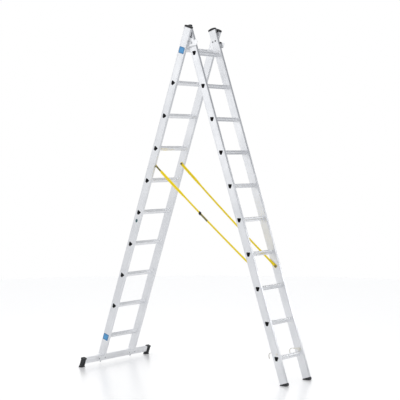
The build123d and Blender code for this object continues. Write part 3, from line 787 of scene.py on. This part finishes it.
# %% Hinge bolts and stop rollers
PIVOT = [(7, -7.8), (7, 0), (11.6, 0), (12, 0.4), (12, 1.5), (11.5, 2.0)]
ROLLER = [(4, -3), (4, 0), (6.2, 0), (7, 0.8), (7, 3.2), (6.2, 4), (3, 4), (2.6, 3.4)]
PIVOT_GAP, BRACKET_THICK = 0.3 * MM, 3 * MM
ROLLER_N, ROLLER_A = 22 * MM, 31.5 * MM
pivot_shank, pivot_head, roller = turned(PIVOT), hexagon(10.6, 4.0, 0.9), turned(ROLLER)
bolts, rollers = bmesh.new(), bmesh.new()
for side in SIDES.values():
    place = seat(UPPER, 0, side * (LOWER_INNER + PIVOT_GAP), 0, side)
    stamp(bolts, place, pivot_shank)
    stamp(bolts, place @ raised(PIVOT[-1][1]), pivot_head)
    bracket_face = side * (LOWER_INNER - BRACKET_THICK)
    stamp(rollers, seat(LOWER, ROLLER_N, bracket_face, ROLLER_A, -side), roller)
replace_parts(finish_piece("hinge_bolts", bolts, "hinge shoes", "zinc_steel", zinc), "pivot_bolts")
piece = finish_piece("hinge_rollers", rollers, "lower section", "roller_rubber", roller_rubber)
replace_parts(piece, "stop_rollers")

# %% [markdown]
# Two dark bolts through each upper stile rest on the shoe and keep the section from sliding down. Low
# round heads face outwards, and nuts on washers sit on the inner face, with the thread showing.

# %% Stop bolts
STOP_A, WASHER_TOP, THREAD_STEPS = 37 * MM, 1.2, 16
STOP_PLACES = [(-20 * MM, STOP_A), (8 * MM, STOP_A)]


def through_bolts(name, places, finish, head, *inner):
    """Bolts through both upper stiles: a head outside, and (height, part) pairs inside."""
    bm = bmesh.new()
    for n, a in places:
        for side in SIDES.values():
            stamp(bm, seat(UPPER, n, side * UPPER_OUTER, a, side), head)
            inside = seat(UPPER, n, side * UPPER_INNER, a, -side)
            for height, part in inner:
                stamp(bm, inside @ raised(height), part)
    return finish_piece(name, bm, "upper section", "zinc_steel", finish)


head = turned([(6.5, 0), (6.5, 1.6), (5.9, 2.7), (4.4, 3.4), (2.6, 3.5), (2.2, 2.0)])
washer = turned([(6.3, 0), (6.5, 0.2), (6.5, 0.9), (6.2, WASHER_TOP)])
thread_end = turned([(3.9, 0), (3.9, 4.6), (3.4, 5.0)], THREAD_STEPS)
inner = (0, washer), (WASHER_TOP, hexagon(5.9, 2.9, 0.6)), (0, thread_end)
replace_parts(through_bolts("stop_bolt_set", STOP_PLACES, dark_steel, head, *inner), "stop_bolts")

# %% [markdown]
# The rung hooks are cut from steel plate and tumbled, so their edges are soft. The outline is a J that
# hangs over a rung: leg, arch, arm and a round boss on the bolt. Two arcs and a few corners draw it,
# and a bevel on the long edges takes off the sharpness.

# %% Rung hooks
HOOK_BASE = UPPER_TOP_RUNG - (RUNGS - 1) * PITCH
ARCH = (-58 * MM, HOOK_BASE + 31 * MM)
BOLT = (12 * MM, HOOK_BASE + 30 * MM)
ARCH_OUTER, ARCH_INNER, BOSS = 27 * MM, 20 * MM, 15 * MM
ARM_REACH, LEG_DROP = 10 * MM, 18 * MM
HOOK_OUT, HOOK_IN = UPPER_INNER - 0.3 * MM, UPPER_INNER - 6.3 * MM


def arc(centre, radius, first, last, steps):
    """Points along part of a circle."""
    angles = [math.radians(first + (last - first) * step / steps) for step in range(steps + 1)]
    return [(centre[0] + radius * math.cos(t), centre[1] + radius * math.sin(t)) for t in angles]


leg_foot = ARCH[1] - LEG_DROP
hook_outline = [(ARCH[0] - ARCH_INNER, leg_foot), (ARCH[0] - ARCH_OUTER, leg_foot)]
hook_outline += arc(ARCH, ARCH_OUTER, 180, 90, 10)
hook_outline += arc(BOLT, BOSS, 90, -180, 20)
hook_outline += [(ARCH[0] + ARM_REACH, ARCH[1] + ARCH_INNER)]
hook_outline += arc(ARCH, ARCH_INNER, 90, 180, 10)
for name, side in SIDES.items():
    bm = bmesh.new()
    face = flat_face(bm, [(x, side * HOOK_IN, z) for x, z in hook_outline])
    pull(bm, face, (0, side * (HOOK_OUT - HOOK_IN), 0))
    rims = level_edges(bm, 1, side * HOOK_IN) + level_edges(bm, 1, side * HOOK_OUT)
    soften(bm, rims, 1.0 * MM)
    bmesh.ops.transform(bm, matrix=UPPER, verts=bm.verts)
    hook = finish_piece(f"steel_hook_{name}", bm, f"hook {name}", "zinc_steel", hook_zinc)
    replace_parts(hook, f"rung_hook_{name}")

# %% [markdown]
# The hooks turn on shoulder bolts: a domed head outside the stile, and a washer with a nut inside.

# %% Hook bolts
WASHER_AT, NUT_AT = 6.6, 7.6
head = turned([(8.5, 0), (8.5, 1.8), (7.8, 3.6), (5.8, 5.0), (3.4, 5.5), (2.9, 3.6)])
shank = turned([(5, -0.6), (5, 6.8)], THREAD_STEPS)
washer = turned([(8.3, 0), (8.5, 0.2), (8.5, 0.8), (8.3, 1.0)])
inner = (0, shank), (WASHER_AT, washer), (NUT_AT, hexagon(8.3, 5.0, 0.8))
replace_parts(through_bolts("hook_bolt_set", [BOLT], hook_zinc, head, *inner), "hook_bolts")

# %% [markdown]
# Four bolts clamp the saddles to the bar, and a stud draws each saddle down from below. The bolts have
# round heads in front and nuts behind, and each stud ends in a nut with the thread showing.

# %% Saddle bolts and studs
SADDLE_REACH, BOLT_STEP, STUD_DROP = 12.6, 37.5 * MM, 25 * MM
saddle_head = turned([(6.5, 0), (6.5, 1.7), (5.8, 2.8), (4.2, 3.4), (2.6, 3.5), (2.2, 2.1)])
saddle_nut, stud_nut = hexagon(6.4, 3.4, 0.6), hexagon(7.4, 6.4, 0.9)
stud_end = turned([(3.9, 0), (3.9, 17.8), (3.2, 18.5)], THREAD_STEPS)
bolts, studs = bmesh.new(), bmesh.new()
for side in SIDES.values():
    stile_middle = side * (LOWER_OUTER - STILE_THICK / 2)
    for step in (-BOLT_STEP, BOLT_STEP):
        place = LOWER @ at(LOWER_CENTRE, stile_middle + step, BAR_A)
        stamp(bolts, place @ turn_about("Y", 90) @ raised(SADDLE_REACH), saddle_head)
        stamp(bolts, place @ turn_about("Y", -90) @ raised(SADDLE_REACH), saddle_nut)
    below = LOWER @ at(LOWER_CENTRE, stile_middle, BAR_A - STUD_DROP)
    stamp(studs, below @ turn_about("X", 180), stud_nut, stud_end)
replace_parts(finish_piece("saddle_bolt_set", bolts, "lower section", "zinc_steel", zinc), "saddle_bolts")
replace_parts(finish_piece("saddle_stud_set", studs, "lower section", "zinc_steel", zinc), "saddle_studs")

# %% [markdown]
# Each strap end is held by a screw through a washer, with a spacer behind the webbing. Spacer, neck,
# washer and head share one axis, so a single outline is turned for all of them, with the drive recess
# at its end.

# %% Strap anchors
ANCHOR = [(9, 0), (9, 2.3), (8.7, 2.6), (4, 2.6), (4, 5.4), (8.7, 5.4), (9, 5.7), (9, 6.4), (8.8, 6.6)]
ANCHOR += [(6.5, 6.6), (6.5, 8.6), (5.6, 9.9), (3.2, 10.5), (2.6, 10.6), (2.2, 9.0)]
STRAP_ENDS = {
    "lower": (LOWER, "lower section", -44 * MM, LOWER_INNER, LOWER_TOP_RUNG - 975 * MM),
    "upper": (UPPER, "upper section", 0.0, UPPER_INNER, UPPER_TOP_RUNG - 1803 * MM),
}
anchor = turned(ANCHOR)
for section, (matrix, body, n, inner, a) in STRAP_ENDS.items():
    bm = bmesh.new()
    for side in SIDES.values():
        stamp(bm, seat(matrix, n, side * inner, a, -side), anchor)
    piece = finish_piece(f"anchor_screws_{section}", bm, body, "zinc_steel", dark_steel)
    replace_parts(piece, f"{section}_strap_anchors")

# %% [markdown]
# The straps are woven webbing. A weave shows as a grid of small bumps, with a darker line woven in
# along the middle. It has to follow the strap and not the room, so it is drawn on a UV map, in metres
# across and along: two waves crossed for the threads and for painted shade between them, a ramp over
# the distance from the middle for the stripe, and noise for wear.

# %% Webbing, thread and strap plastics
WAVE_SCALE = 0.314
TAPE_HALF = 12.5


def webbing_finish(name, light, stripe, edge):
    """Woven tape, drawn on a UV map in metres."""
    finish = Finish(name)
    threads = []
    for direction, size in (("X", 1.6), ("Y", 1.3)):
        sockets = {"Vector": finish.place(size, source="UV"), "Scale": WAVE_SCALE}
        threads.append(finish.add("TexWave", sockets, bands_direction=direction).outputs["Fac"])
    weave = finish.maths("MULTIPLY", *threads)
    split = finish.add("SeparateXYZ", {0: finish.place(TAPE_HALF, source="UV")})
    from_middle = finish.maths("ABSOLUTE", split.outputs["X"], 0.0)
    stops = [(0.0, stripe), (0.24, stripe), (0.36, light), (0.86, light), (0.97, edge)]
    woven = finish.ramp(from_middle, stops)
    wear = finish.noise((9.0, 60.0, 9.0), source="UV", detail=4.0)
    worn = finish.blend(finish.span(wear, 0.0, 0.35, 0.45, 0.75), woven, edge)
    # Between the threads the colour darkens towards a deeper tone of the stripe: painted shade in the
    # hollows of the weave.
    shade = finish.span(weave, 0.82, 1.0, 0.1, 0.8)
    colour = finish.blend(shade, tuple(0.78 * value for value in stripe), worn)
    rough = finish.span(wear, 0.72, 0.86)
    soft = {"Sheen Weight": 0.08, "Specular IOR Level": 0.2}
    return finish.shade(colour, rough, finish.bump(weave, 0.35, 0.6), soft)


YELLOW_TONES = (0.98, 0.77, 0.030), (0.80, 0.58, 0.012), (0.90, 0.68, 0.020)
# The olive tones are painted shade: they darken the near strap's sleeve and free end for the shadow they
# lie in.
PAINTED_SHADE_TONES = (0.27, 0.245, 0.09), (0.18, 0.16, 0.05), (0.21, 0.19, 0.065)
THREAD_TONES = (0.10, 0.085, 0.03), (0.16, 0.14, 0.06)
BUCKLE_TONES = (0.012, 0.011, 0.009), (0.028, 0.026, 0.022)
webbing = webbing_finish("yellow_webbing", *YELLOW_TONES)
painted_shade_webbing = webbing_finish("painted_shade_webbing", *PAINTED_SHADE_TONES)
thread = moulded_plastic("dark_thread", *THREAD_TONES, 0.75, 0.4)
buckle_plastic = moulded_plastic("buckle_plastic", *BUCKLE_TONES, 0.50, 0.6, 0.2)
print("strap finishes:", webbing.name, painted_shade_webbing.name, thread.name, buckle_plastic.name)

# %% [markdown]
# A strap runs from the lower stile to the upper one, a little slack, so it sags by about a centimetre.
# It lies flat under its two anchors, turns a little on to its edge in between, as webbing does, and
# keeps a few millimetres clear of the stile it leaves. The path is described by rows: each has a
# centre and the directions along, across and through the tape.

# %% Path of the straps
STRAP_STAND = 4 * MM
STRAP_SAG = {"near": 11 * MM, "far": 10 * MM}
STRAP_CLEAR = [(0.0, 0.0), (0.03, 1.2 * MM), (0.14, 3.2 * MM), (0.30, 0.0)]
STRAP_TURN = {
    "near": [(0.0, 0), (0.24, 0), (0.33, 28), (0.93, 28), (1.0, 0)],
    "far": [(0.0, 0), (0.15, 0), (0.23, 26), (0.93, 26), (1.0, 0)],
}
STRAP_LINE = {}
for name, side in SIDES.items():
    start, end = (
        matrix @ Vector((n, side * (inner - STRAP_STAND), a))
        for matrix, _, n, inner, a in STRAP_ENDS.values()
    )
    along = (end - start).normalized()
    inwards = Vector((0, -side, 0))
    through = (inwards - along * inwards.dot(along)).normalized()
    STRAP_LINE[name] = start, end, along, along.cross(through), through
STRAP_LENGTH = (end - start).length


def follow(keys, where):
    """A smooth value between (place, value) keys."""
    for (p0, v0), (p1, v1) in zip(keys, keys[1:]):
        if where <= p1:
            share = min(max((where - p0) / (p1 - p0), 0.0), 1.0)
            return v0 + (v1 - v0) * share * share * (3 - 2 * share)
    return keys[-1][1]


def strap_row(name, distance, stand=0.0):
    """The strap's centre and its directions at a distance from the lower anchor."""
    start, _, along, across, through = STRAP_LINE[name]
    share = min(max(distance / STRAP_LENGTH, 0.0), 1.0)
    turn = math.radians(follow(STRAP_TURN[name], share))
    wide = across * math.cos(turn) - through * math.sin(turn)
    thick = through * math.cos(turn) + across * math.sin(turn)
    sag = Vector((0, 0, -4 * STRAP_SAG[name] * share * (1 - share)))
    aside = through * -follow(STRAP_CLEAR, share)
    return start + along * distance + sag + aside + thick * stand, along, wide, thick


print("distance between the anchors:", round(STRAP_LENGTH, 3), "m")

# %% [markdown]
# The tape itself is a thin rounded section that is extruded from row to row. Its UV map is written at
# the same time, because the distance along and across is known for every vertex. On its way the tape
# can change its width, and it can stand off from the path of the strap.

# %% Tape
TAPE = [(TAPE_HALF, 0), (12.0, 0.62), (10.6, 0.9), (0, 0.9), (-10.6, 0.9), (-12.0, 0.62)]
TAPE += [(-x, -z) for x, z in TAPE]
FULL_WIDTH = ((0, 1),)


def tape(bm, name, first, last, rows, width=FULL_WIDTH, thick=1.0, stand=0.0):
    """Extrude the tape's section from row to row, with its UV map."""
    uv = bm.loops.layers.uv.verify()
    where = {}
    for row in range(rows + 1):
        distance = first + (last - first) * row / rows
        centre, _, across, through = strap_row(name, distance, stand)
        wide = follow(width, distance / MM)
        if row == 0:
            ring = [bm.verts.new(centre) for _ in TAPE]
            edges = [bm.edges.new((ring[i - 1], ring[i])) for i in range(len(ring))]
            bm.faces.new(ring)
        else:
            made = bmesh.ops.extrude_edge_only(bm, edges=edges)["geom"]
            fresh = set(verts_in(made))
            linked = [[edge.other_vert(vert) for edge in vert.link_edges] for vert in ring]
            ring = [next(vert for vert in others if vert in fresh) for others in linked]
            edges = [e for e in made if isinstance(e, bmesh.types.BMEdge) and set(e.verts) <= fresh]
        for vert, (x, z) in zip(ring, TAPE):
            vert.co = centre + across * (x * wide * MM) + through * (z * thick * MM)
            where[vert] = (x * MM, distance)
    bm.faces.new(ring)
    for face in bm.faces:
        for loop in face.loops:
            loop[uv].uv = where[loop.vert]


print("the tape's section has", len(TAPE), "points")

# %% [markdown]
# The straps bend with the hinge: the lower end stays with the lower section, the upper end goes with
# Each strap is made in two lengths, a short one beside the lower anchor and a long one beyond it,
# that agree at their seam.

# %% Straps
STRAP_SEAM, LONG_END = 0.22, 0.85


def bend_with_hinge(piece):
    """Bake a strap piece's place into its mesh."""
    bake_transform(piece)


STRAP_END = 10 * MM
SHORT_ROWS, LONG_ROWS = 22, 62
STRAP_WIDTH = {"near": ((22, 1.0), (32, 0.55), (74, 0.55), (96, 1.0)), "far": FULL_WIDTH}
seam = STRAP_SEAM * STRAP_LENGTH
STRAP_LENGTHS = {
    "short": (-STRAP_END, seam, SHORT_ROWS),
    "long": (seam, STRAP_LENGTH + STRAP_END, LONG_ROWS),
}
for name in SIDES:
    for part, (first, last, rows) in STRAP_LENGTHS.items():
        bm = bmesh.new()
        tape(bm, name, first, last, rows, STRAP_WIDTH[name])
        strap = finish_piece(f"webbing_strap_{name}_{part}", bm, None, "webbing", webbing)
        bend_with_hinge(strap)
        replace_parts(strap, f"strap_{name}")

# %% [markdown]
# Both ends of a strap are sewn with a box of dark stitches. At the lower end of the near strap the
# tape is folded to half its width, and a dark olive sleeve over the fold is painted shade: the
# shadow of the stile on the strap.

# %% Stitches and sleeve
STITCHES = [(13 + 4.2 * step, x) for step in range(2) for x in (-8.5, -4.2, 4.2, 8.5)]
STITCH_SEAT = 0.62
SLEEVE_START, SLEEVE_END, SLEEVE_ROWS, SLEEVE_THICK = 27, 82, 8, 1.75
SLEEVE_WIDTH = ((SLEEVE_START, 0.66), (78, 0.62), (SLEEVE_END, 0.7))


def oriented(centre, along, across, through):
    """A place with its three axes, as a matrix."""
    matrix = Matrix((along, across, through)).transposed().to_4x4()
    matrix.translation = centre
    return matrix


stitch = slab(1.5, 0.4, 0.5, 0.25, 0.12)
for name in SIDES:
    bm = bmesh.new()
    for anchor_at, inwards in ((0.0, 1), (STRAP_LENGTH, -1)):
        for reach, x in STITCHES:
            centre, along, across, through = strap_row(name, anchor_at + inwards * reach * MM)
            for face in (-1, 1):
                place = centre + across * (x * MM) + through * (face * STITCH_SEAT * MM)
                stamp(bm, oriented(place, along, across, through * face), stitch)
    bend_with_hinge(finish_piece(f"strap_stitches_{name}", bm, None, "webbing", thread))
# The dark olive sleeve is painted shade on the near strap's lower end.
bm = bmesh.new()
ends = SLEEVE_START * MM, SLEEVE_END * MM
tape(bm, "near", *ends, SLEEVE_ROWS, SLEEVE_WIDTH, thick=SLEEVE_THICK)
bend_with_hinge(finish_piece("strap_sleeve", bm, None, "webbing", painted_shade_webbing))

# %% [markdown]
# The near strap can be shortened: its free end comes back through a slide buckle. The buckle is a
# short rectangular sleeve. Two rings of four vertices are bridged and extruded for its walls, the
# edges are rounded, and low grips cross its faces.

# %% Buckle
BUCKLE_AT = 0.468 * STRAP_LENGTH
BUCKLE_HALF = (11.0, 15.5, 4.7)
SLOT_HALF = (13.0, 2.5)
BUCKLE_STAND, GRIP_SEAT, GRIP_PLACES = -1.1 * MM, 4.4, (-6, -2, 2, 6)
bm = bmesh.new()
rings = []
for half_y, half_z in (BUCKLE_HALF[1:], SLOT_HALF):
    corners = [(-BUCKLE_HALF[0] * MM, y * half_y * MM, z * half_z * MM) for y, z in CORNERS]
    ring = [bm.verts.new(corner) for corner in corners]
    rings += [bm.edges.new((ring[i - 1], ring[i])) for i in range(4)]
walls = bmesh.ops.bridge_loops(bm, edges=rings)["faces"]
made = bmesh.ops.extrude_face_region(bm, geom=walls)["geom"]
bmesh.ops.translate(bm, vec=(2 * BUCKLE_HALF[0] * MM, 0, 0), verts=verts_in(made))
bmesh.ops.recalc_face_normals(bm, faces=bm.faces)
side_y = BUCKLE_HALF[1] * MM
outer_edges = [
    e for e in bm.edges if all(abs(abs(v.co.y) - side_y) < PLANE_TOLERANCE for v in e.verts)
]
soften(bm, outer_edges, 1.5 * MM, 3)
grip = slab(1.1, 10.5, 0.9, 0.7, 0.3)
for face, degrees in ((-1, 180), (1, 0)):
    for x in GRIP_PLACES:
        place = at(x * MM, 0, face * GRIP_SEAT * MM)
        stamp(bm, place @ turn_about("X", degrees), grip)
buckle_place = oriented(*strap_row("near", BUCKLE_AT, BUCKLE_STAND))
bmesh.ops.transform(bm, matrix=buckle_place, verts=bm.verts)
buckle = finish_piece("slide_buckle", bm, None, "plug_plastic", buckle_plastic)
bend_with_hinge(buckle)
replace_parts(buckle, "strap_buckle")

# %% [markdown]
# From the buckle the free end lies on the strap as a tail, dark olive for painted shade. It is a short
# piece of the same tape that stands off by a little more than its own thickness, so it follows every
# turn of the strap.

# %% Tail
TAIL_LENGTH, TAIL_ROWS, TAIL_STAND = 104 * MM, 12, -2.2 * MM
bm = bmesh.new()
tail_start = BUCKLE_AT - BUCKLE_HALF[0] * MM
tape(bm, "near", tail_start, tail_start + TAIL_LENGTH, TAIL_ROWS, stand=TAIL_STAND)
tail = finish_piece("strap_free_end", bm, None, "webbing", painted_shade_webbing)
bend_with_hinge(tail)
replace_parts(tail, "strap_tail")

# %% [markdown]
# Three blank plates sit on the near stile: two square blue ones over the top and bottom rung, and a
# small oval one. They carry no words. A printed plate has a clear coat over its colour, a border that
# is a shade darker, and a little wear.

# %% Finishes of the plates
def plate_finish(name, light, dark, coat):
    """Printed foil under a clear coat, a little cloudy."""
    finish = Finish(name)
    clouds = finish.noise(16.0, lower_lean, detail=2.0)
    specks = finish.noise(1.2, lower_lean, rough=0.7)
    tone = finish.ramp(clouds, [(0.35, dark), (0.65, light)])
    pale = tuple(min(1.0, 1.35 * value + 0.04) for value in light)
    colour = finish.blend(finish.span(specks, 0.0, 0.5, 0.66, 0.82), tone, pale)
    rough = finish.span(clouds, 0.30, 0.40)
    clear = {"Coat Weight": coat, "Coat Roughness": 0.12}
    return finish.shade(colour, rough, finish.bump(specks, 0.03, 0.3), clear)


blue_foil = plate_finish("blue_foil", (0.075, 0.32, 0.62), (0.055, 0.26, 0.54), 0.3)
blue_border = plate_finish("blue_border", (0.050, 0.20, 0.40), (0.040, 0.17, 0.35), 0.3)
teal_foil = plate_finish("teal_foil", (0.035, 0.115, 0.125), (0.022, 0.080, 0.090), 0.4)
print("plate finishes:", blue_foil.name, blue_border.name, teal_foil.name)

# %% [markdown]
# A square plate is a thin slab with round corners. Three insets give it a raised border and a sunk
# middle, and only the middle has the lighter blue.

# %% Blue plates
PLATE_HALF, PLATE_CORNER, PLATE_THICK = 27 * MM, 7 * MM, 0.85 * MM
PLATE_DROP = 8 * MM
bm = bmesh.new()
back = flat_face(bm, rectangle(PLATE_HALF, PLATE_HALF), PLATE_CORNER, 4)
front = pull(bm, back, (0, 0, PLATE_THICK))
for face in bm.faces:
    face.material_index = 1
for width, rise in ((0.8, 0.15), (5.5, 0.0), (0.5, -0.15)):
    inset(bm, front, width, rise)
front.material_index = 0
square_plate = small_part(bm)
bm = bmesh.new()
for a in (LOWER_TOP_RUNG, LOWER_TOP_RUNG - (RUNGS - 1) * PITCH):
    stamp(bm, seat(LOWER, LOWER_CENTRE, -LOWER_OUTER, a - PLATE_DROP, -1), square_plate)
foils = blue_foil, blue_border
plates = finish_piece("blue_plates", bm, "lower section", "blue_plate", *foils, smooth=8)
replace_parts(plates, "label_plates")

# %% [markdown]
# The oval plate is a circle that is scaled to an ellipse and extruded. Three more insets, each with a
# small rise, dome it.

# %% Oval plate
OVAL_HALF, OVAL_THICK = (11 * MM, 15 * MM, 1), 0.35 * MM
OVAL_A = LOWER_TOP_RUNG - (RUNGS // 2) * PITCH - 74 * MM
bm = bmesh.new()
verts = bmesh.ops.create_circle(bm, cap_ends=True, segments=40, radius=1.0)["verts"]
bmesh.ops.scale(bm, vec=OVAL_HALF, verts=verts)
top = pull(bm, next(iter(bm.faces)), (0, 0, OVAL_THICK))
for width, rise in ((0.7, 0.2), (1.6, 0.12), (2.5, 0.1)):
    inset(bm, top, width, rise)
oval_place = seat(LOWER, LOWER_CENTRE, -LOWER_OUTER, OVAL_A, -1)
bmesh.ops.transform(bm, matrix=oval_place, verts=bm.verts)
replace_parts(finish_piece("oval_plate", bm, "lower section", "teal_plate", teal_foil), "badge")

# %% [markdown]
# The small meshes have all been stamped, so they go.

# %% Clearing the small meshes
for part in small_parts:
    bpy.data.meshes.remove(part)
